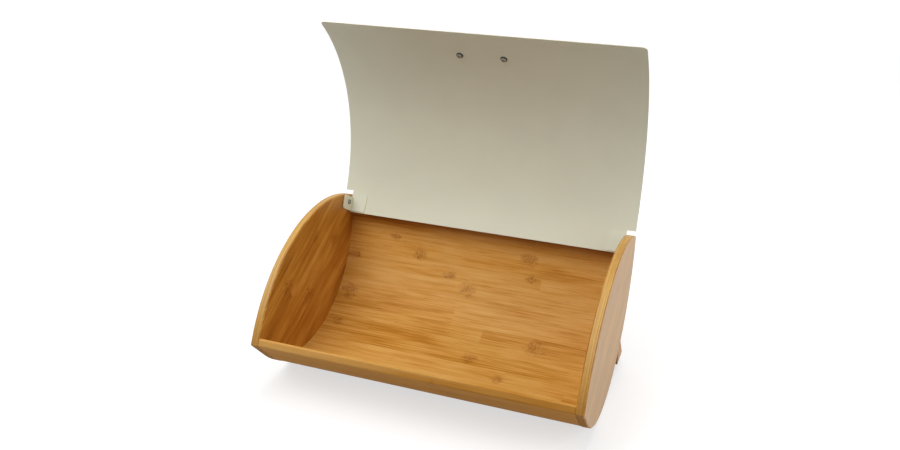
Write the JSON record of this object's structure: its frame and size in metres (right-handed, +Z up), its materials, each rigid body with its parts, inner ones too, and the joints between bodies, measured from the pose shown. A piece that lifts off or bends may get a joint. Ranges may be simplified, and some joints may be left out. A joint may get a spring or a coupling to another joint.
{
  "type": "bread box",
  "caption": "Countertop bread box with leaf-shaped wooden end panels, a curved board as floor and back, and a curved sheet-steel lid that swings up on side pivots.",
  "frame": {"origin": "on the table, mid width and mid depth of the space the box takes with its lid open", "axes": "+X to the right seen from the front, +Y from the front to the back, +Z up"},
  "size_m": [0.4, 0.2856, 0.4097],
  "materials": {
    "bamboo_panel": "satin lacquered bamboo",
    "bamboo_board": "satin lacquered bamboo",
    "dowel_wood": "raw wood",
    "painted_steel": "satin paint",
    "zinc_steel": "bright zinc",
    "white_plastic": "natural nylon",
    "dark_plastic": "matt",
    "black_rubber": "matt"
  },
  "bodies": {
    "box": {"end_panel_left": "bamboo_panel", "end_panel_right": "bamboo_panel", "curved_board": "bamboo_board", "dowels_left": "dowel_wood", "dowels_right": "dowel_wood", "rear_rail": "bamboo_panel", "rail_screws": "zinc_steel", "foot_pad_left": "black_rubber", "foot_pad_right": "black_rubber", "pad_screws": "zinc_steel", "pivot_screw_left": "zinc_steel", "pivot_screw_right": "zinc_steel", "pivot_washer_left": "white_plastic", "pivot_washer_right": "white_plastic"},
    "lid": {"lid_sheet": "painted_steel", "hinge_bracket_left": "painted_steel", "hinge_bracket_right": "painted_steel", "handle": "bamboo_panel", "handle_screws": "zinc_steel", "handle_washers": "dark_plastic"}
  },
  "joints": [
    {"name": "lid_hinge", "type": "hinge", "parent": "box", "child": "lid", "pos_m": [0, 0.10347, 0.15831], "axis": [1, 0, 0], "range_deg": [-8, 100.6]}
  ]
}
